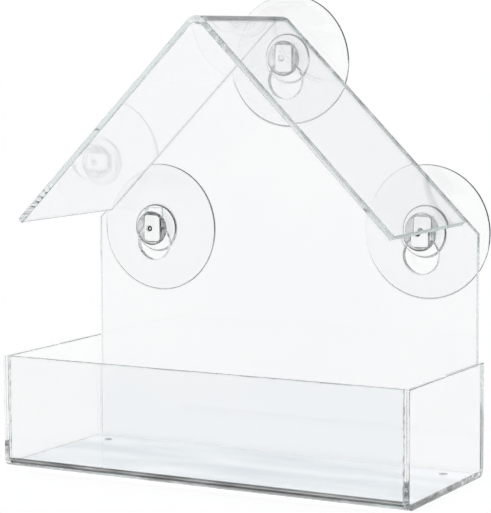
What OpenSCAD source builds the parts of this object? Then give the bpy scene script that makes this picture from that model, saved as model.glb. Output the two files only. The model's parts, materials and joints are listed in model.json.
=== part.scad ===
// Clear window bird feeder: a house-shaped tray with a pitched roof, held to the glass by three suction cups.
// +X is the viewer's right, +Y points at the window, +Z is up. The origin is the middle of the tray's underside.

/* [Sheet] */
// Thickness of the clear sheet
sheet_t = 2; // [1.5:0.1:3]

/* [Tray] */
// Width over the two side panels
tray_w = 150; // [130:1:220]
// Depth from the front wall's face to the back panel's rear face
tray_d = 60; // [45:1:100]
// Height of the tray's walls
tray_h = 38; // [20:1:55]
// Inner radius of the bends at the front and the back of the floor
bend_r = 1; // [0.5:0.1:4]
// Diameter of a drain hole
drain_d = 2.5; // [2:0.5:6]
// Distance from a drain hole's centre to the side panel and to the back panel
drain_inset = 9; // [7:0.5:16]

/* [Back panel] */
// Height of the back panel's straight sides, up to the shoulders
shoulder_h = 80.5; // [70:0.5:120]

/* [Roof] */
// Slope of the roof, and of the gable behind it, in degrees
roof_pitch = 45; // [35:1:50]
// How far the roof reaches forward from the back panel
roof_d = 56.5; // [40:0.5:90]
// How far each eave stops short of the back panel's side
eave_inset = 4; // [0:0.5:12]
// Inner radius of the bend along the ridge
ridge_r = 2.5; // [1:0.1:5]

/* [Keyholes] */
// Height of a cup's seat above the middle of its keyhole's round part
keyhole_drop = 7.5; // [6:0.5:12]
// How far the three keyholes sit to the right of the panel's middle
keyhole_shift = 1.2; // [-3:0.1:3]
// Distance from the panel's sides to the side cups' axes, before that shift
side_cup_inset = 21.4; // [18:0.1:30]
// Distance from the shoulders down to the side cups' seats
side_cup_drop = 0.5; // [0:0.5:10]
// Distance from the gable's sharp peak down to the top cup's seat
top_cup_drop = 17; // [15:0.5:30]
// How far the left cup has slipped down from its seat
left_cup_slip = 2.5; // [0:0.1:5]

/* [Suction cups] */
// Diameter of the flange
cup_d = 45; // [35:1:60]
// Distance from the boss's face back to the rim on the window
cup_depth = 4.2; // [3.6:0.1:8]
// Thickness of the flange's rounded edge
lip_h = 1.6; // [1:0.1:2]
// Width of the flat ring that meets the window
lip_w = 1.2; // [0.8:0.1:3]
// Depth of the hollow behind the flange
hollow_depth = 2; // [1.2:0.1:2.4]
// Diameter of the boss behind the panel
boss_d = 16.6; // [14:0.1:20]
// Height of the boss above the flange
boss_h = 1.2; // [0.8:0.1:1.4]
// Radius of the fillet around the boss's foot
boss_fillet = 0.6; // [0.3:0.1:0.7]
// Radius of the boss's edge against the panel
boss_round = 0.4; // [0.2:0.1:0.5]
// Width of the neck across the slot
neck_w = 5.6; // [4:0.1:7]
// Height of the neck along the slot
neck_h = 8.6; // [6:0.1:9]
// Radius of the neck's four long edges
neck_round = 0.5; // [0.2:0.1:1.2]
// Diameter of the head in front of the panel
head_d = 12; // [11:0.1:16]
// Thickness in the middle of the domed head
head_l = 2.6; // [2:0.1:4]
// Thickness of the head's round edge
head_edge = 1.6; // [1:0.1:1.9]
// Diameter of the dimple in the middle of the head
dimple_d = 2.2; // [1:0.1:3]
// Depth of that dimple
dimple_depth = 0.5; // [0.2:0.1:0.8]

/* [Hidden] */
$fn = 96;

// Running gap between a cup and the sheet that it slides in
fit_gap = 0.3;
// Gap around a head as it passes through a keyhole
head_gap = 0.2;

acrylic = [0.87, 0.92, 0.92, 0.35];
soft_clear = [0.90, 0.93, 0.93, 0.5];

bend_out_r = bend_r + sheet_t;
ridge_out_r = ridge_r + sheet_t;
front_y = -tray_d / 2;
back_y = tray_d / 2;
panel_y = back_y - sheet_t;
panel_w = tray_w - 2 * sheet_t;

// Sharp peak of the gable, the middle of the ridge's bend under it, and a slope's length down to its eave
peak_z = shoulder_h + panel_w / 2 * tan(roof_pitch);
ridge_z = peak_z - ridge_out_r / cos(roof_pitch);
eave_x = panel_w / 2 - eave_inset;
slope_l = eave_x / cos(roof_pitch) - ridge_out_r * tan(roof_pitch);

// Seats of the cups on the back panel, as [x, z]
side_seat_x = panel_w / 2 - side_cup_inset;
side_seat_z = shoulder_h - side_cup_drop;
top_seat = [keyhole_shift, peak_z - top_cup_drop];
left_seat = [keyhole_shift - side_seat_x, side_seat_z];
right_seat = [keyhole_shift + side_seat_x, side_seat_z];
keyhole_d = head_d + 2 * head_gap;
slot_w = neck_w + 2 * fit_gap;
slot_l = keyhole_drop + neck_h / 2 + fit_gap;

// Heights along a cup's axis, from the boss's face at 0, forwards
neck_l = sheet_t + 2 * fit_gap;
rim_a = -cup_depth;
lip_a = rim_a + lip_h;
hollow_a = rim_a + hollow_depth;

// Height on the axis of the middle of a circle through two points, given as [radius, height]
function arc_mid(p, q) = (q * q - p * p) / (2 * (q.y - p.y));

// Pushes a [y, z] outline out to both sides along X
module across(w) {
    rotate([90, 0, 90])
        linear_extrude(w, center = true)
            children();
}

// Pushes an [x, z] outline forwards along Y, from y
module forwards(y, d) {
    translate([0, y, 0])
        rotate([90, 0, 0])
            linear_extrude(d)
                children();
}

// Section of the sheet through a square bend of a given inner radius, in the first quadrant
module square_bend(r) {
    intersection() {
        difference() {
            circle(r + sheet_t);
            circle(r);
        }
        square(r + sheet_t);
    }
}

// Section of the body sheet: front wall, floor and back panel with a bend at each end of the floor
module body_section() {
    translate([front_y + bend_out_r, 0])
        square([tray_d - 2 * bend_out_r, sheet_t]);
    translate([front_y, bend_out_r])
        square([sheet_t, tray_h - bend_out_r]);
    translate([panel_y, bend_out_r])
        square([sheet_t, peak_z - bend_out_r]);
    translate([front_y + bend_out_r, bend_out_r])
        rotate(180)
            square_bend(bend_r);
    translate([back_y - bend_out_r, bend_out_r])
        rotate(270)
            square_bend(bend_r);
}

// Puts an outline at the middle of the ridge's bend, with +X down the right slope and +Y out of the roof
module down_slope() {
    translate([0, ridge_z])
        rotate(-roof_pitch)
            children();
}

// An outline and its mirror image on the left
module both_halves() {
    for (side = [0, 1])
        mirror([side, 0])
            children();
}

// Right half of the back panel's house outline, with a peak as round as the ridge
module house_half() {
    reach = 2 * peak_z;
    intersection() {
        down_slope() {
            translate([0, ridge_out_r - reach])
                square(reach);
            intersection() {
                circle(ridge_out_r);
                translate([-ridge_out_r, 0])
                    square(ridge_out_r);
            }
        }
        translate([0, -sheet_t])
            square([panel_w / 2, peak_z + sheet_t]);
    }
}

// Keyhole for one cup: a round way in below, and a square-ended slot up to the seat
module keyhole_outline(seat) {
    translate(seat - [0, keyhole_drop]) {
        circle(d = keyhole_d);
        translate([-slot_w / 2, 0])
            square([slot_w, slot_l]);
    }
}

module drain_hole(side) {
    translate([side * (panel_w / 2 - drain_inset), panel_y - drain_inset, 0])
        cylinder(d = drain_d, h = 4 * sheet_t, center = true);
}

module body_sheet() {
    color(acrylic)
        difference() {
            intersection() {
                across(tray_w)
                    body_section();
                forwards(tray_d, 2 * tray_d)
                    both_halves()
                        house_half();
            }
            forwards(back_y + sheet_t, 3 * sheet_t)
                for (seat = [top_seat, left_seat, right_seat])
                    keyhole_outline(seat);
            for (side = [-1, 1])
                drain_hole(side);
        }
}

// End of the tray, with its lower corners as round as the bends that it covers
module side_outline() {
    translate([front_y, bend_out_r])
        square([tray_d, tray_h - bend_out_r]);
    translate([front_y + bend_out_r, 0])
        square([tray_d - 2 * bend_out_r, bend_out_r]);
    for (end = [-1, 1])
        translate([end * (tray_d / 2 - bend_out_r), bend_out_r])
            circle(bend_out_r);
}

module side_panel(side) {
    color(acrylic)
        translate([side * (panel_w + sheet_t) / 2, 0, 0])
            across(sheet_t)
                side_outline();
}

// Right half of the roof's section: one slope, and half of the ridge's bend
module roof_half() {
    intersection() {
        down_slope() {
            translate([0, ridge_r])
                square([slope_l, sheet_t]);
            rotate(90)
                square_bend(ridge_r);
        }
        square([tray_w, peak_z]);
    }
}

module roof_sheet() {
    color(acrylic)
        forwards(panel_y, roof_d)
            both_halves()
                roof_half();
}

// Boss against the panel's rear face, with a round edge and a fillet down to the flange
module boss_section() {
    round_x = boss_d / 2 - boss_round;
    translate([0, -boss_h - boss_fillet]) {
        square([boss_d / 2, boss_h + boss_fillet - boss_round]);
        square([round_x, boss_h + boss_fillet]);
    }
    translate([round_x, -boss_round])
        circle(boss_round);
    translate([boss_d / 2, -boss_h])
        difference() {
            translate([0, -boss_fillet])
                square([boss_fillet, 2 * boss_fillet]);
            translate([boss_fillet, boss_fillet])
                circle(boss_fillet);
        }
}

// Thin domed flange with a round edge, the boss on it, and a shallow hollow towards the window
module flange_section() {
    lip_r = lip_h / 2;
    lip_x = cup_d / 2 - lip_r;
    rim = [lip_x, lip_a];
    foot = [boss_d / 2, -boss_h];
    hollow_rim = [lip_x - lip_w, rim_a];
    hollow_top = [0, hollow_a];
    dome_mid = arc_mid(foot, rim);
    hollow_mid = arc_mid(hollow_top, hollow_rim);
    difference() {
        union() {
            intersection() {
                translate([0, dome_mid])
                    circle(norm(rim - [0, dome_mid]));
                translate([0, rim_a])
                    square([lip_x, cup_depth]);
            }
            translate([lip_x, rim_a + lip_r])
                circle(lip_r);
            boss_section();
        }
        translate([0, hollow_mid])
            circle(hollow_a - hollow_mid);
    }
}

// Low domed head with a flat back and a round edge, from its back forwards
module head_section() {
    edge_r = head_edge / 2;
    edge = [head_d / 2 - edge_r, head_edge];
    dome_mid = arc_mid([0, head_l], edge);
    intersection() {
        translate([0, dome_mid])
            circle(head_l - dome_mid);
        square([edge.x, head_l]);
    }
    translate([edge.x, edge_r])
        circle(edge_r);
}

// Outline of the neck, with round corners
module neck_outline() {
    corner_x = neck_w / 2 - neck_round;
    corner_y = neck_h / 2 - neck_round;
    square([neck_w, 2 * corner_y], center = true);
    square([2 * corner_x, neck_h], center = true);
    for (x = [-corner_x, corner_x])
        for (y = [-corner_y, corner_y])
            translate([x, y])
                circle(neck_round);
}

// One-piece soft cup: its axis runs along Y through its seat, and its upright neck can't turn in the slot
module suction_cup(seat) {
    root_a = -boss_h / 2;
    color(soft_clear)
        translate([seat.x, back_y + fit_gap, seat.y])
            rotate([90, 0, 0])
                difference() {
                    union() {
                        rotate_extrude()
                            flange_section();
                        translate([0, 0, root_a])
                            linear_extrude(neck_l + head_edge / 2 - root_a)
                                neck_outline();
                        translate([0, 0, neck_l])
                            rotate_extrude()
                                head_section();
                    }
                    translate([0, 0, neck_l + head_l - dimple_depth])
                        cylinder(d = dimple_d, h = 2 * dimple_depth);
                }
}

body_sheet();
side_panel(-1);  // left_side_panel
side_panel(1);  // right_side_panel
roof_sheet();
suction_cup(top_seat);  // top_suction_cup
suction_cup(left_seat - [0, left_cup_slip]);  // left_suction_cup
suction_cup(right_seat);  // right_suction_cup
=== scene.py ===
import json
import math

import bmesh
import bpy
from mathutils import Matrix, Vector


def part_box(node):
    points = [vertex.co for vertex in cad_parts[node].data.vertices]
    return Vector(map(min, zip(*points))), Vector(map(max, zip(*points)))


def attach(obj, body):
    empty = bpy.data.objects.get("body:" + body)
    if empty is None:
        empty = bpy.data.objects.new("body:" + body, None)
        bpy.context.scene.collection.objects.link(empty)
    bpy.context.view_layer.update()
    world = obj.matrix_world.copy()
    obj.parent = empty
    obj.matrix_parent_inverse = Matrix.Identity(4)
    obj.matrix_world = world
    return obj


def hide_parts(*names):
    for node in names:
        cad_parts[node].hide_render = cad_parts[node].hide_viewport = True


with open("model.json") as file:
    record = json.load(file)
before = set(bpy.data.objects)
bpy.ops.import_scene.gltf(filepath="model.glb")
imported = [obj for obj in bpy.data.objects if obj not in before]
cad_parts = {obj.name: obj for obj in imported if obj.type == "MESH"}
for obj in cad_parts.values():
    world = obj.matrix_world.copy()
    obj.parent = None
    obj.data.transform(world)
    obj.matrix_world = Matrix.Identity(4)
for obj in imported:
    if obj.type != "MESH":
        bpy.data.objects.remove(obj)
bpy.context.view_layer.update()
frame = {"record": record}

MM = 0.001

# Places of a sheet's materials: broad faces, cut edges, cemented edges, bends, the edges' rounded
# corners, the tray's floor, and edges with darker patches. The bends, the rounded corners, the
# tray's floor and the darker patches carry painted shade. On the roof, the place of the cemented
# edges holds the left slope's front edge, and the last place holds the eaves.
FACE, EDGE, JOINT, BEND, ARRIS, FLOOR, GABLE = range(7)

# Sizes of the sheets, in millimetres, read from the frame where a node's box shows them
BEND_R = 1
RIDGE_R = 2.5
PITCH = math.radians(45)
EDGE_ROUND = 0.25
ROOF_EDGE_ROUND = 0.15
# The body's right end and the roof's back edge reach a little into what they are cemented to, and
# the body's left end stops a hair short of it
JOINT_LAP = 0.03
JOINT_GAP = 0.02

# How finely the sheets' curves are drawn, and the angle over which an edge stays sharp
EDGE_STEPS = 5
BEND_STEPS = 24
PEAK_STEPS = 24
CORNER_STEPS = 16
KEYHOLE_STEPS = 64
DRAIN_STEPS = 32
SHEET_SHARP = math.radians(25)


def box_mm(node):
    """A CAD node's lowest and highest corner, in millimetres."""
    low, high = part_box(node)
    return low / MM, high / MM


side_low, side_high = box_mm("right_side_panel")
body_high = box_mm("body_sheet")[1]
roof_low, roof_high = box_mm("roof_sheet")
SHEET_T = round(side_high.x - side_low.x, 3)
PANEL_HALF_W = side_low.x
TRAY_H = side_high.z
FRONT_Y, BACK_Y = side_low.y, side_high.y
MID_R = BEND_R + SHEET_T / 2
OUT_R = BEND_R + SHEET_T
EAVE_X = roof_high.x
RIDGE_MID_R = RIDGE_R + SHEET_T / 2
RIDGE_OUT_R = RIDGE_R + SHEET_T
RIDGE_MID = body_high.z - RIDGE_OUT_R
PEAK = RIDGE_MID + RIDGE_OUT_R / math.cos(PITCH)
SHOULDER_H = PEAK - PANEL_HALF_W * math.tan(PITCH)

# Keyholes and drain holes
NECK_W = 5.6
NECK_H = 8.6
FIT_GAP = 0.3
KEYHOLE_D = 12.4
SLOT_W = NECK_W + 2 * FIT_GAP
DRAIN_D = 2.5
DRAIN_INSET = 9

# The cups and the bodies that they ride on, and the range of each body's slide
CUPS = {
    "top_suction_cup": "top_cup",
    "left_suction_cup": "left_cup",
    "right_suction_cup": "right_cup",
}
slides = {joint["child"]: joint["range_m"] for joint in frame["record"]["behaviour"]["joints"]}


def cup_axis(node):
    """Where a cup's axis crosses the back panel at rest, as (x, z)."""
    low, high = box_mm(node)
    return (low.x + high.x) / 2, (low.z + high.z) / 2


def cup_seat(node):
    """The top end of a cup's way in its keyhole, as (x, z)."""
    x, z = cup_axis(node)
    return x, z + slides[CUPS[node]][1] / MM


def keyhole_drop(node):
    """How far a cup goes down from its seat to its keyhole's round part."""
    low, high = slides[CUPS[node]]
    return (high - low) / MM


def arc(mid, r, start, end, steps):
    """Points along an arc from start to end, in degrees."""
    angles = [math.radians(start + (end - start) * i / steps) for i in range(steps + 1)]
    return [(mid[0] + r * math.cos(a), mid[1] + r * math.sin(a)) for a in angles]


def inset(loop, distance):
    """A closed loop moved into the material, which lies on its left."""
    moved = []
    for i, (x, y) in enumerate(loop):
        before = Vector((x - loop[i - 1][0], y - loop[i - 1][1])).normalized()
        after_x, after_y = loop[(i + 1) % len(loop)]
        after = Vector((after_x - x, after_y - y)).normalized()
        n0, n1 = Vector((before.y, -before.x)), Vector((after.y, -after.x))
        miter = (n0 + n1) / (1 + n0.dot(n1))
        moved.append((x - distance * miter.x, y - distance * miter.y))
    return moved


def edge_profile(r):
    """The rounded edge of a sheet, as (inset, height) from its top face to its bottom face."""
    half = SHEET_T / 2
    top = []
    for i in range(EDGE_STEPS + 1):
        a = math.radians(90 * i / EDGE_STEPS)
        top.append((r * (1 - math.sin(a)), half - r * (1 - math.cos(a))))
    return top + [(x, -h) for x, h in reversed(top)]


def flat_blank(loops, edge_round=EDGE_ROUND):
    """A flat sheet with rounded edges, as a bmesh. The outer loop runs anticlockwise, and holes
    run clockwise."""
    bm = bmesh.new()
    profile = edge_profile(edge_round)
    caps = {0: [], len(profile) - 1: []}
    for loop in loops:
        rings = []
        for distance, height in profile:
            rings.append([bm.verts.new((x, y, height)) for x, y in inset(loop, distance)])
        count = len(loop)
        for k, (upper, lower) in enumerate(zip(rings, rings[1:])):
            for i in range(count):
                j = (i + 1) % count
                face = bm.faces.new((upper[j], upper[i], lower[i], lower[j]))
                face.material_index = EDGE if k == EDGE_STEPS else ARRIS
        for k, edges in caps.items():
            ring = rings[k]
            edges += [bm.edges.get((ring[i], ring[(i + 1) % count])) for i in range(count)]
    for k, edges in caps.items():
        up = 1 if k == 0 else -1
        bmesh.ops.triangle_fill(bm, use_beauty=True, edges=edges, normal=(0, 0, up))
    bm.normal_update()
    return bm


def cut_lines(bm, places, across=(0, 1, 0)):
    """Cuts a blank's faces along lines at places along the direction across."""
    for place in places:
        geometry = bm.verts[:] + bm.edges[:] + bm.faces[:]
        bmesh.ops.bisect_plane(bm, geom=geometry, plane_co=Vector(across) * place, plane_no=across)


def bend_lines(start, length):
    """Where a blank is cut so that it bends evenly."""
    return [start + length * i / BEND_STEPS for i in range(BEND_STEPS + 1)]


def give(bm, material, present, chosen):
    """Gives a material to the faces that have a present one and that chosen(x, y) picks by the
    face's middle."""
    for face in bm.faces:
        middle = face.calc_center_median()
        if face.material_index in present and chosen(middle.x, middle.y):
            face.material_index = material


def link(name, mesh):
    """Makes an object of a mesh and shows it."""
    made = bpy.data.objects.new(name, mesh)
    bpy.context.scene.collection.objects.link(made)
    return made


def sheet_object(name, bm, place):
    """Bends a blank to its place and makes it an object. place gives (position, across) for a
    blank's (x, y, h), where across is the direction of the sheet's top face there."""
    flat = [v.co.copy() for v in bm.verts]
    bm.verts.index_update()
    for v in bm.verts:
        v.co = place(*flat[v.index])[0] * MM
    mesh = bpy.data.meshes.new(name)
    bm.to_mesh(mesh)
    bm.free()
    mesh.set_sharp_from_angle(angle=SHEET_SHARP)
    normals = [n.vector.copy() for n in mesh.corner_normals]
    for face in mesh.polygons:
        if face.material_index in (FACE, BEND, FLOOR):
            for i in face.loop_indices:
                at = flat[mesh.loops[i].vertex_index]
                across = place(*at)[1]
                normals[i] = across if at.z > 0 else -across
    mesh.normals_split_custom_set(normals)
    return link(name, mesh)


# The body's blank runs in Y from the front wall's top edge, along the middle of the sheet, to the
# gable
WALL_L = TRAY_H - OUT_R
BEND_L = MID_R * math.pi / 2
FLOOR_L = (BACK_Y - FRONT_Y) - 2 * OUT_R
FLOOR_AT = WALL_L + BEND_L
FLOOR_END = FLOOR_AT + FLOOR_L
PANEL_AT = FLOOR_END + BEND_L
# From a height on the back panel to a place on the blank
TO_BLANK = PANEL_AT - OUT_R
SHOULDER_AT = TO_BLANK + SHOULDER_H
# The upper part of the front bend, which gets a dark line of painted shade
SHADED_BEND_L = BEND_L / 3


def body_place(x, s, h):
    """Front wall, bend, floor, bend and back panel. The blank's top face is the tray's inside."""
    half = SHEET_T / 2
    if s < WALL_L:
        mid, across = Vector((x, FRONT_Y + half, TRAY_H - s)), Vector((0, 1, 0))
    elif s < FLOOR_AT:
        a = (s - WALL_L) / MID_R
        across = Vector((0, math.cos(a), math.sin(a)))
        mid = Vector((x, FRONT_Y + OUT_R, OUT_R)) - MID_R * across
    elif s < FLOOR_END:
        mid, across = Vector((x, FRONT_Y + OUT_R + s - FLOOR_AT, half)), Vector((0, 0, 1))
    elif s < PANEL_AT:
        a = (s - FLOOR_END) / MID_R
        across = Vector((0, -math.sin(a), math.cos(a)))
        mid = Vector((x, BACK_Y - OUT_R, OUT_R)) - MID_R * across
    else:
        mid, across = Vector((x, BACK_Y - half, s - TO_BLANK)), Vector((0, -1, 0))
    return mid + h * across, across


def keyhole_mid(node):
    """The middle of a keyhole's round part on the body's blank."""
    x, z = cup_seat(node)
    return x, TO_BLANK + z - keyhole_drop(node)


def keyhole_loop(node):
    """A cup's keyhole on the body's blank, clockwise: along the slot's top end, then round the
    way in."""
    x, z = cup_seat(node)
    slot_x, hole_r = SLOT_W / 2, KEYHOLE_D / 2
    slot_top = TO_BLANK + z + NECK_H / 2 + FIT_GAP
    meet = math.degrees(math.asin(slot_x / hole_r))
    top = [(x - slot_x, slot_top), (x + slot_x, slot_top)]
    return top + arc(keyhole_mid(node), hole_r, 90 - meet, 90 + meet - 360, KEYHOLE_STEPS)


def body_loops():
    """The body's blank: the outline with the gable, the keyholes and the drain holes."""
    left, right = JOINT_GAP - PANEL_HALF_W, PANEL_HALF_W + JOINT_LAP
    tilt = math.degrees(PITCH)
    ridge_mid = (0, TO_BLANK + RIDGE_MID)
    outer = [(left, 0), (right, 0), (right, SHOULDER_AT)]
    outer += arc(ridge_mid, RIDGE_OUT_R, 90 - tilt, 90 + tilt, PEAK_STEPS)
    outer += [(left, SHOULDER_AT)]
    loops = [outer] + [keyhole_loop(node) for node in CUPS]
    drain_x = PANEL_HALF_W - DRAIN_INSET
    drain_s = FLOOR_END + OUT_R - SHEET_T - DRAIN_INSET
    for side in (-1, 1):
        loops.append(arc((side * drain_x, drain_s), DRAIN_D / 2, 0, -360, DRAIN_STEPS)[:-1])
    return loops


def make_body():
    """The tray and the back panel, bent from one sheet."""
    at_end = PANEL_HALF_W - EDGE_ROUND
    near_end = PANEL_HALF_W - SHEET_T
    bm = flat_blank(body_loops())
    cut_lines(bm, bend_lines(WALL_L, BEND_L) + bend_lines(FLOOR_END, BEND_L))
    # The upper part of the front bend gets painted shade
    give(bm, BEND, (FACE,), lambda x, s: WALL_L < s < WALL_L + SHADED_BEND_L)
    # The tray's floor gets streaks of painted shade
    give(bm, FLOOR, (FACE,), lambda x, s: FLOOR_AT < s < FLOOR_END)
    # Cemented: both ends of the front wall, and the floor's right end
    give(bm, JOINT, (EDGE, ARRIS), lambda x, s: abs(x) > at_end and s < WALL_L)
    give(bm, JOINT, (EDGE, ARRIS), lambda x, s: x > at_end and s < FLOOR_END)
    # Without the painted shade of the rounded corners: the panel's sides, the drain holes and the
    # left gable
    give(bm, EDGE, (ARRIS,), lambda x, s: FLOOR_END < s < SHOULDER_AT and abs(x) > near_end)
    give(bm, EDGE, (ARRIS,), lambda x, s: FLOOR_AT < s < FLOOR_END and abs(x) < near_end)
    give(bm, EDGE, (ARRIS,), lambda x, s: s > SHOULDER_AT and s - x - SHOULDER_AT > near_end)
    # The right gable, with patches of painted shade
    give(bm, GABLE, (EDGE, ARRIS),
         lambda x, s: s > SHOULDER_AT and s + x - SHOULDER_AT > near_end)
    # The keyholes, whose walls round the way in get patches of painted shade
    for node in CUPS:
        x_mid, s_mid = keyhole_mid(node)
        give(bm, EDGE, (ARRIS,),
             lambda x, s: abs(x - x_mid) < KEYHOLE_D and abs(s - s_mid) < 2 * KEYHOLE_D)
        give(bm, GABLE, (EDGE,),
             lambda x, s: math.dist((x, s), (x_mid, s_mid)) < KEYHOLE_D / 2 + FIT_GAP)
    return sheet_object("bent_body", bm, body_place)


def make_side(name, side):
    """An end panel. Its top face looks out of the tray."""
    mid_x = side * (PANEL_HALF_W + SHEET_T / 2)
    out = Vector((side, 0, 0))
    loop = [(FRONT_Y, TRAY_H)]
    loop += arc((FRONT_Y + OUT_R, OUT_R), OUT_R, 180, 270, CORNER_STEPS)
    loop += arc((BACK_Y - OUT_R, OUT_R), OUT_R, 270, 360, CORNER_STEPS)
    loop += [(BACK_Y, TRAY_H)]
    bm = flat_blank([loop])
    if side < 0:
        bmesh.ops.reverse_faces(bm, faces=bm.faces[:])
    return sheet_object(name, bm, lambda y, z, h: (Vector((mid_x + side * h, y, z)), out))


# The roof's blank runs in Y from the left eave, over the ridge, to the right eave, and in X from
# the front to the back panel
SLOPE_L = EAVE_X / math.cos(PITCH) - RIDGE_OUT_R * math.tan(PITCH)
RIDGE_L = RIDGE_MID_R * 2 * PITCH
# How much of the ridge stays clear of painted shade at its front end
CLEAR_RIDGE_L = 3


def roof_place(y, s, h):
    """Left slope, ridge and right slope. The blank's top face looks out."""
    middle = s - SLOPE_L - RIDGE_L / 2
    a = max(-PITCH, min(PITCH, middle / RIDGE_MID_R))
    across = Vector((math.sin(a), 0, math.cos(a)))
    along = Vector((math.cos(a), 0, -math.sin(a)))
    beyond = middle - a * RIDGE_MID_R
    mid = Vector((0, y, RIDGE_MID)) + RIDGE_MID_R * across + beyond * along
    return mid + h * across, across


def make_roof():
    """The roof, bent from one sheet along its ridge."""
    front, back = roof_low.y, roof_high.y + JOINT_LAP
    length = 2 * SLOPE_L + RIDGE_L
    clear_end = front + CLEAR_RIDGE_L
    front_end, back_start = front + ROOF_EDGE_ROUND, back - ROOF_EDGE_ROUND
    outer = [(front, 0), (back, 0), (back, length), (front, length)]
    bm = flat_blank([outer], ROOF_EDGE_ROUND)
    cut_lines(bm, [clear_end], (1, 0, 0))
    cut_lines(bm, bend_lines(SLOPE_L, RIDGE_L))
    # Behind its clear front end, the ridge gets a grey band of painted shade
    give(bm, BEND, (FACE,), lambda y, s: SLOPE_L < s < SLOPE_L + RIDGE_L and y > clear_end)
    give(bm, GABLE, (EDGE, ARRIS), lambda y, s: front_end < y < back_start)
    give(bm, JOINT, (EDGE,), lambda y, s: y < front_end and s < SLOPE_L)
    bmesh.ops.reverse_faces(bm, faces=bm.faces[:])
    return sheet_object("bent_roof", bm, roof_place)


# A cup, in millimetres: radii from its axis, and heights forwards from its boss's face
CUP_R = 22.5
LIP_R = 0.8
LIP_W = 1.2
RIM_A = -4.2
HOLLOW_A = -2.2
BOSS_R = 8.3
BOSS_H = 1.2
BOSS_FILLET = 0.6
BOSS_ROUND = 0.4
BOSS_FOOT_R = BOSS_R + BOSS_FILLET
NECK_ROUND = 0.5
NECK_L = SHEET_T + 2 * FIT_GAP
HEAD_R = 6
HEAD_L = 2.6
HEAD_EDGE_R = 0.8
DIMPLE_R = 1.1
DIMPLE_DEPTH = 0.5
DIMPLE_A = NECK_L + HEAD_L - DIMPLE_DEPTH
SOFT_R = 0.15

# How finely a cup's curves are drawn, the angle in degrees at which a dome meets its round edge,
# and the steps along the lip between which it gets painted shade
DIMPLE_STEPS = 3
SOFT_STEPS = 4
ROUND_STEPS = 6
FILLET_STEPS = 8
HEAD_STEPS = 12
HEAD_EDGE_STEPS = 16
FLANGE_STEPS = 24
NECK_STEP = 0.22
DOME_END = 86
LIP_DARK_FROM, LIP_DARK_TO = 6, 18
CUP_SHARP = math.radians(35)

# The soft flange's waves: their height, how much of it is the finer wave, and how each cup's waves
# are turned
WAVE_A = 0.2
FINE_WAVE = 0.4
FINE_TURN = 2.3
CUP_TURN = 1.7


def dome(foot, rim):
    """Height over the radius of a dome through two points, given as (radius, height)."""
    mid = (rim[0] ** 2 + rim[1] ** 2 - foot[0] ** 2 - foot[1] ** 2) / (2 * (rim[1] - foot[1]))
    r = math.hypot(foot[0], foot[1] - mid)
    up = math.copysign(1, foot[1] - mid)
    return lambda x: mid + up * math.sqrt(r * r - x * x)


def between(start, end, steps):
    """Evenly spaced values between start and end, without these."""
    return [start + (end - start) * i / steps for i in range(1, steps)]


def band(points, rim):
    """Points of a cup's outline, each marked if the surface after it is a rim, an edge or a wall,
    which gets painted shade."""
    return [(r, a, rim) for r, a in points]


def head_profile():
    """The turned outline of a cup's head as (radius, height, rim), from its dimple to its flat
    back."""
    edge_x = HEAD_R - HEAD_EDGE_R
    front = dome((0, NECK_L + HEAD_L), (edge_x, NECK_L + 2 * HEAD_EDGE_R))
    floor_r, lip_r = DIMPLE_R - SOFT_R, DIMPLE_R + SOFT_R
    floor_mid = (floor_r, DIMPLE_A + SOFT_R)
    lip_mid = (lip_r, front(lip_r) - SOFT_R)
    edge_mid = (edge_x, NECK_L + HEAD_EDGE_R)
    points = band([(r, DIMPLE_A) for r in between(0, floor_r, DIMPLE_STEPS)], True)
    points += band(arc(floor_mid, SOFT_R, 270, 360, SOFT_STEPS), False)
    points += band(arc(lip_mid, SOFT_R, 180, 90, SOFT_STEPS), False)
    points += band([(r, front(r)) for r in between(lip_r, edge_x, HEAD_STEPS)], False)
    points += band(arc(edge_mid, HEAD_EDGE_R, DOME_END, -90, HEAD_EDGE_STEPS), True)
    return points


def flange_profile():
    """The turned outline of a cup's boss and flange as (radius, height, rim), out to its lip and
    back to its hollow."""
    lip_x = CUP_R - LIP_R
    rim_x = lip_x - LIP_W
    top = dome((BOSS_R, -BOSS_H), (lip_x, RIM_A + 2 * LIP_R))
    hollow = dome((0, HOLLOW_A), (rim_x, RIM_A))
    boss_mid = (BOSS_R - BOSS_ROUND, -BOSS_ROUND)
    foot_mid = (BOSS_FOOT_R, top(BOSS_FOOT_R) + BOSS_FILLET)
    lip = arc((lip_x, RIM_A + LIP_R), LIP_R, DOME_END, -90, FLANGE_STEPS)
    points = band(arc(boss_mid, BOSS_ROUND, 90, 0, ROUND_STEPS), True)
    points += band(arc(foot_mid, BOSS_FILLET, 180, 270, FILLET_STEPS), False)
    points += band([(r, top(r)) for r in between(BOSS_FOOT_R, lip_x, FLANGE_STEPS)], False)
    points += band(lip[:LIP_DARK_FROM], False)
    points += band(lip[LIP_DARK_FROM:LIP_DARK_TO], True)
    points += band(lip[LIP_DARK_TO:], False)
    points += band([(rim_x, RIM_A)], False)
    points += band([(r, hollow(r)) for r in between(rim_x, 0, FLANGE_STEPS)], False)
    return points


def neck_outline():
    """Closely spaced points round the upright neck, anticlockwise."""
    x, y = NECK_W / 2 - NECK_ROUND, NECK_H / 2 - NECK_ROUND
    corners = []
    for mid, start in (((x, y), 0), ((-x, y), 90), ((-x, -y), 180), ((x, -y), 270)):
        corners += arc(mid, NECK_ROUND, start, start + 90, ROUND_STEPS)
    points = []
    for i, (x, y) in enumerate(corners):
        to_x, to_y = corners[(i + 1) % len(corners)]
        steps = max(1, round(math.dist((x, y), (to_x, to_y)) / NECK_STEP))
        for k in range(steps):
            points.append((x + (to_x - x) * k / steps, y + (to_y - y) * k / steps))
    return points


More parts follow.
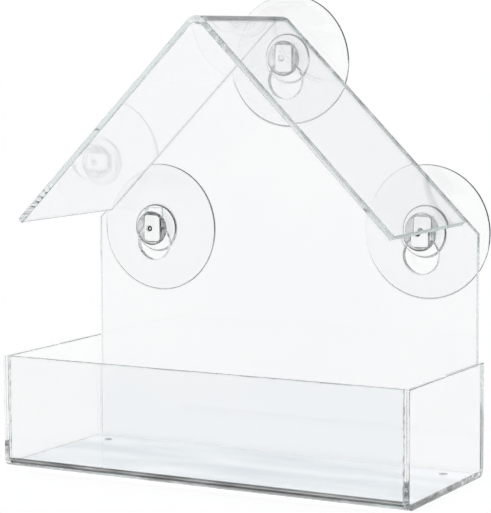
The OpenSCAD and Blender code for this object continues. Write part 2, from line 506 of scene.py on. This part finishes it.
def cup_rings():
    """Rings of (x, y, height) over the whole cup, from the dimple to the hollow, and which of them
    rims follow."""
    outline = neck_outline()
    angles = [math.atan2(y, x) for x, y in outline]
    rings, rims = [], []

    def add_circles(profile):
        for r, a, rim in profile:
            rings.append([(r * math.cos(t), r * math.sin(t), a) for t in angles])
            rims.append(rim)

    def add_neck(corner, height):
        for e, b in corner:
            rings.append([(x, y, height + b) for x, y in inset(outline, -SOFT_R - e)])
            rims.append(True)

    add_circles(head_profile())
    add_neck(arc((0, 0), SOFT_R, 90, 180, SOFT_STEPS), NECK_L - SOFT_R)
    add_neck(arc((0, 0), SOFT_R, 180, 270, SOFT_STEPS), SOFT_R)
    rims[-1] = False
    add_circles(flange_profile())
    return rings, rims


def soft_wave(x, y, phase):
    """How far a soft flange stands off its true shape, growing towards its edge."""
    r = math.hypot(x, y)
    if r < BOSS_FOOT_R:
        return 0
    out = (r - BOSS_FOOT_R) / (CUP_R - BOSS_FOOT_R)
    t = math.atan2(y, x)
    wave = math.sin(2 * t + phase) + FINE_WAVE * math.sin(3 * t + FINE_TURN * phase)
    return WAVE_A * out * out * wave


def make_cup(name, node, phase):
    """A suction cup: head, neck, boss and flange as one closed skin."""
    axis_x, axis_z = cup_axis(node)
    boss_y = box_mm(node)[1].y + RIM_A
    bm = bmesh.new()

    def vertex(x, y, a):
        a += soft_wave(x, y, phase)
        return bm.verts.new(Vector((axis_x + x, boss_y - a, axis_z + y)) * MM)

    places, rims = cup_rings()
    rings = [[vertex(*p) for p in ring] for ring in places]
    count = len(rings[0])
    first = vertex(0, 0, DIMPLE_A)
    last = vertex(0, 0, HOLLOW_A)
    for i in range(count):
        j = (i + 1) % count
        bm.faces.new((first, rings[0][i], rings[0][j]))
        bm.faces.new((last, rings[-1][j], rings[-1][i]))
        for inner, outer, rim in zip(rings, rings[1:], rims):
            face = bm.faces.new((inner[i], outer[i], outer[j], inner[j]))
            face.material_index = int(rim)
    for face in bm.faces:
        face.smooth = True
    mesh = bpy.data.meshes.new(name)
    bm.to_mesh(mesh)
    bm.free()
    mesh.set_sharp_from_angle(angle=CUP_SHARP)
    return link(name, mesh)


# The two plastics: what one surface lets through, the colour of a long way inside, how dense that
# colour is, and the refraction
ACRYLIC = {
    "tint": (0.985, 0.99, 0.99),
    "inside": (0.86, 0.93, 0.92),
    "density": 3,
    "ior": 1.49,
}
SOFT_PVC = {
    "tint": (0.985, 0.988, 0.99),
    "inside": (0.80, 0.815, 0.82),
    "density": 45,
    "ior": 1.53,
}


def clear_plastic(name, plastic):
    """A smooth, clear material of one of the plastics."""
    material = bpy.data.materials.new(name)
    material.use_nodes = True
    nodes, links = material.node_tree.nodes, material.node_tree.links
    shader = nodes["Principled BSDF"]
    shader.inputs["Base Color"].default_value = (*plastic["tint"], 1)
    shader.inputs["Roughness"].default_value = 0
    shader.inputs["Transmission Weight"].default_value = 1
    shader.inputs["IOR"].default_value = plastic["ior"]
    inside = nodes.new("ShaderNodeVolumeAbsorption")
    inside.inputs["Color"].default_value = (*plastic["inside"], 1)
    inside.inputs["Density"].default_value = plastic["density"]
    links.new(inside.outputs["Volume"], nodes["Material Output"].inputs["Volume"])
    return material


def noise(material, scale, detail, stretch=(1, 1, 1)):
    """A noise pattern in the object's own metres, with scale in spots per metre."""
    nodes, links = material.node_tree.nodes, material.node_tree.links
    place = nodes.new("ShaderNodeTexCoord")
    turn = nodes.new("ShaderNodeMapping")
    turn.inputs["Scale"].default_value = stretch
    pattern = nodes.new("ShaderNodeTexNoise")
    pattern.inputs["Scale"].default_value = scale
    pattern.inputs["Detail"].default_value = detail
    links.new(place.outputs["Object"], turn.inputs["Vector"])
    links.new(turn.outputs["Vector"], pattern.inputs["Vector"])
    return pattern.outputs["Fac"]


def spread(material, value, found, wanted):
    """Maps a pattern's values from the range found to the range wanted."""
    node = material.node_tree.nodes.new("ShaderNodeMapRange")
    sockets = ("From Min", "From Max", "To Min", "To Max")
    for socket, number in zip(sockets, (*found, *wanted)):
        node.inputs[socket].default_value = number
    material.node_tree.links.new(value, node.inputs["Value"])
    return node.outputs["Result"]


def drive(material, socket, value):
    """Lets a pattern set one of a material's values."""
    shader = material.node_tree.nodes["Principled BSDF"]
    material.node_tree.links.new(value, shader.inputs[socket])


def roughen(material, value):
    """Dulls a surface by a pattern."""
    drive(material, "Roughness", value)


def shade(material, value):
    """Colours what a clear surface lets through by a pattern, from black at 0 to clear at 1."""
    drive(material, "Base Color", value)


def tint_between(material, value, light, dark):
    """Colours what a clear surface lets through, from light at 0 to dark at 1."""
    ramp = material.node_tree.nodes.new("ShaderNodeValToRGB")
    for mark, colour in zip(ramp.color_ramp.elements, (light, dark)):
        mark.color = (*colour, 1)
    material.node_tree.links.new(value, ramp.inputs["Fac"])
    drive(material, "Base Color", ramp.outputs["Color"])


def bump(material, value, height):
    """Raises the surface by a pattern, up to height in metres."""
    node = material.node_tree.nodes.new("ShaderNodeBump")
    node.inputs["Distance"].default_value = height
    material.node_tree.links.new(value, node.inputs["Height"])
    drive(material, "Normal", node.outputs["Normal"])


def face_material(name, tint, cloud):
    """Polished sheet: faint cloudy wipe marks, and wide clouds of a slightly bluer tint."""
    material = clear_plastic(name, ACRYLIC)
    clouds = noise(material, scale=14, detail=3)
    wipes = noise(material, scale=45, detail=5)
    tint_between(material, spread(material, clouds, (0.35, 0.7), (0, 1)), tint, cloud)
    roughen(material, spread(material, wipes, (0.52, 0.8), (0, 0.06)))
    return material


def tray_floor_shade_material(name, light, dark):
    """Tray's floor: the same sheet, darkened in bluish grey streaks along the tray by painted
    shade, which stands in for the shadow under the tray.
    """
    material = clear_plastic(name, ACRYLIC)
    shade_streaks = noise(material, scale=16, detail=5, stretch=(1, 5, 1))
    tint_between(material, spread(material, shade_streaks, (0.35, 0.65), (0, 1)), light, dark)
    return material


def edge_material(name, dullness):
    """Cut edge: polished, with duller stretches. dullness is the range of its roughness."""
    material = clear_plastic(name, ACRYLIC)
    stretches = noise(material, scale=90, detail=2)
    roughen(material, spread(material, stretches, (0.35, 0.7), dullness))
    return material


def painted_shade_edge_material(name):
    """Cut edge with darker patches of painted shade."""
    material = clear_plastic(name, ACRYLIC)
    patches = noise(material, scale=170, detail=3)
    shade(material, spread(material, patches, (0.36, 0.6), (0.25, 0.85)))
    return material


def joint_material(name):
    """Cemented edge: patches where the cement holds fine bubbles."""
    material = clear_plastic(name, ACRYLIC)
    patches = noise(material, scale=420, detail=3)
    roughen(material, spread(material, patches, (0.4, 0.65), (0, 0.4)))
    shade(material, spread(material, patches, (0.42, 0.6), (1, 0.35)))
    return material


def painted_shade_bend_material(name, rough, shades):
    """Heat-bent stretch, darkened by painted shade in darker and lighter lines within a range of
    shades.
    """
    material = clear_plastic(name, ACRYLIC)
    shader = material.node_tree.nodes["Principled BSDF"]
    shader.inputs["Roughness"].default_value = rough
    lines = noise(material, scale=60, detail=3)
    shade(material, spread(material, lines, (0.35, 0.65), shades))
    return material


def painted_shade_arris_material(name):
    """Rounded corner of a cut edge: a thin dark line of painted shade that comes and goes."""
    material = clear_plastic(name, ACRYLIC)
    dashes = noise(material, scale=150, detail=3)
    shade(material, spread(material, dashes, (0.38, 0.62), (0.3, 0.9)))
    return material


def soft_material(name, dullness):
    """Soft clear moulding, slightly cloudy. dullness is the range of its roughness."""
    material = clear_plastic(name, SOFT_PVC)
    clouds = noise(material, scale=160, detail=4)
    roughen(material, spread(material, clouds, (0.35, 0.75), dullness))
    return material


def cup_material(name):
    """A cup's broad surfaces: slightly uneven."""
    material = soft_material(name, (0.02, 0.12))
    bump(material, noise(material, scale=130, detail=2), height=0.12 * MM)
    return material


def painted_shade_rim_material(name):
    """Rims, walls, round edges and the dimple's floor of a cup: greyer in patches, which is
    painted shade.
    """
    material = soft_material(name, (0.02, 0.2))
    patches = noise(material, scale=220, detail=3)
    shade(material, spread(material, patches, (0.35, 0.65), (0.3, 0.9)))
    return material


bent_face_mat = face_material("clear_sheet", (0.945, 0.952, 0.956), (0.918, 0.935, 0.946))
end_face_mat = face_material("clear_end", (0.985, 0.988, 0.988), (0.97, 0.978, 0.98))
# Painted shade: bluish grey streaks of shadow on the tray's floor
shaded_floor_mat = tray_floor_shade_material("tray_floor", (0.935, 0.95, 0.96), (0.70, 0.745, 0.78))
polished_mat = edge_material("polished_edge", (0, 0.04))
roof_edge_mat = edge_material("roof_edge", (0.12, 0.2))
left_edge_mat = edge_material("left_roof_edge", (0, 0.06))
# Painted shade: dark patches along the right gable and the keyholes' walls
shaded_edge_mat = painted_shade_edge_material("edge_painted_shade")
joint_mat = joint_material("cemented_edge")
# Painted shade: a nearly black line along the tray's front bend
tray_bend_shade_mat = painted_shade_bend_material("tray_bend", 0, (0.05, 0.2))
# Painted shade: a grey band along the roof's ridge
ridge_bend_shade_mat = painted_shade_bend_material("ridge_bend", 0.35, (0.3, 0.55))
# Painted shade: a thin dark line along the cut edges' rounded corners
shaded_arris_mat = painted_shade_arris_material("arris")
cup_mat = cup_material("soft_clear")
# Painted shade: grey patches on a cup's rims, walls and round edges
shaded_rim_mat = painted_shade_rim_material("soft_rim_painted_shade")

# The sheets, each with its materials in the order of their places
tray_mats = (polished_mat, joint_mat, tray_bend_shade_mat, shaded_arris_mat, shaded_floor_mat, shaded_edge_mat)
roof_mats = (roof_edge_mat, left_edge_mat, ridge_bend_shade_mat, shaded_arris_mat, shaded_floor_mat, polished_mat)
sheets = (
    ("body_sheet", make_body(), (bent_face_mat, *tray_mats)),
    ("left_side_panel", make_side("left_end", -1), (end_face_mat, *tray_mats)),
    ("right_side_panel", make_side("right_end", 1), (end_face_mat, *tray_mats)),
    ("roof_sheet", make_roof(), (bent_face_mat, *roof_mats)),
)
for node, piece, materials in sheets:
    for material in materials:
        piece.data.materials.append(material)
    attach(piece, "feeder")
    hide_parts(node)

for number, (node, body) in enumerate(CUPS.items()):
    cup = make_cup("soft_" + body, node, number * CUP_TURN)
    cup.data.materials.append(cup_mat)
    cup.data.materials.append(shaded_rim_mat)
    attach(cup, body)
    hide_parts(node)

# Camera at the photograph's viewing angle, for an image of 491 by 513, in millimetres
IMAGE_W = 491
FOCAL_PX = 2075
SENSOR_W = 36
NEAR = 10
CAMERA_AT = Vector((329.36, -599.71, 145.13))
CAMERA_TO = Vector((1.38, 1.2, 72.34))
CAMERA_ROLL = math.radians(-0.205)
camera = bpy.data.objects.new("camera", bpy.data.cameras.new("camera"))
camera.data.sensor_fit = "HORIZONTAL"
camera.data.sensor_width = SENSOR_W
camera.data.lens = FOCAL_PX / IMAGE_W * SENSOR_W
camera.data.clip_start = NEAR * MM
camera.location = CAMERA_AT * MM
turn = (CAMERA_TO - CAMERA_AT).to_track_quat("-Z", "Y").to_matrix().to_4x4()
camera.rotation_euler = (turn @ Matrix.Rotation(CAMERA_ROLL, 4, "Z")).to_euler()
bpy.context.scene.collection.objects.link(camera)
bpy.context.scene.camera = camera

# Pale floor, a little under the tray, with its radius in metres
FLOOR_DROP = 0.2 * MM
FLOOR_R = 6
FLOOR_SIDES = 64
FLOOR_COLOUR = (0.9, 0.9, 0.9, 1)
FLOOR_GLOW = 0.738
WHITE = (1, 1, 1, 1)
bm = bmesh.new()
bmesh.ops.create_circle(bm, cap_ends=True, segments=FLOOR_SIDES, radius=FLOOR_R)
mesh = bpy.data.meshes.new("floor")
bm.to_mesh(mesh)
bm.free()
floor = link("floor", mesh)
floor.location.z = -FLOOR_DROP
material = bpy.data.materials.new("floor")
material.use_nodes = True
material.cycles.emission_sampling = "NONE"
nodes, links = material.node_tree.nodes, material.node_tree.links
shader = nodes["Principled BSDF"]
shader.inputs["Base Color"].default_value = FLOOR_COLOUR
shader.inputs["Roughness"].default_value = 1
shader.inputs["Specular IOR Level"].default_value = 0
shader.inputs["Emission Color"].default_value = WHITE
# It shows white to the camera, in gloss and through the clear sheets, and doesn't light the object
path = nodes.new("ShaderNodeLightPath")
direct, seen, glow = (nodes.new("ShaderNodeMath") for _ in range(3))
direct.operation = seen.operation = "MAXIMUM"
glow.operation = "MULTIPLY"
glow.inputs[1].default_value = FLOOR_GLOW
links.new(path.outputs["Is Camera Ray"], direct.inputs[0])
links.new(path.outputs["Is Glossy Ray"], direct.inputs[1])
links.new(direct.outputs["Value"], seen.inputs[0])
links.new(path.outputs["Is Transmission Ray"], seen.inputs[1])
links.new(seen.outputs["Value"], glow.inputs[0])
links.new(glow.outputs["Value"], shader.inputs["Emission Strength"])
floor.data.materials.append(material)

# Surroundings in rings of light, as (sine of the height above the floor, strength): white low
# down, a dark ring over it, a softer light ring higher up, and a dim ceiling
LIGHT_RINGS = (
    (0.225, 1), (0.245, 0.02),
    (0.355, 0.02), (0.385, 0.95),
    (0.59, 0.95), (0.62, 0.02),
)
world = bpy.data.worlds.new("studio")
bpy.context.scene.world = world
world.use_nodes = True
nodes, links = world.node_tree.nodes, world.node_tree.links
place = nodes.new("ShaderNodeTexCoord")
split = nodes.new("ShaderNodeSeparateXYZ")
rings = nodes.new("ShaderNodeValToRGB")
rings.color_ramp.interpolation = "EASE"
marks = rings.color_ramp.elements
while len(marks) < len(LIGHT_RINGS):
    marks.new(1)
for mark, (height, strength) in zip(marks, LIGHT_RINGS):
    mark.position = height
    mark.color = (strength, strength, strength, 1)
links.new(place.outputs["Generated"], split.inputs["Vector"])
links.new(split.outputs["Z"], rings.inputs["Fac"])
links.new(rings.outputs["Color"], nodes["Background"].inputs["Color"])

# Light goes many times to and fro inside a sheet before it leaves at an edge, and isn't blurred on
# its way
EDGE_BOUNCES = 160
cycles = bpy.context.scene.cycles
cycles.blur_glossy = 0
cycles.max_bounces = EDGE_BOUNCES
cycles.glossy_bounces = EDGE_BOUNCES
cycles.transmission_bounces = EDGE_BOUNCES

bpy.context.scene.view_settings.view_transform = "Standard"
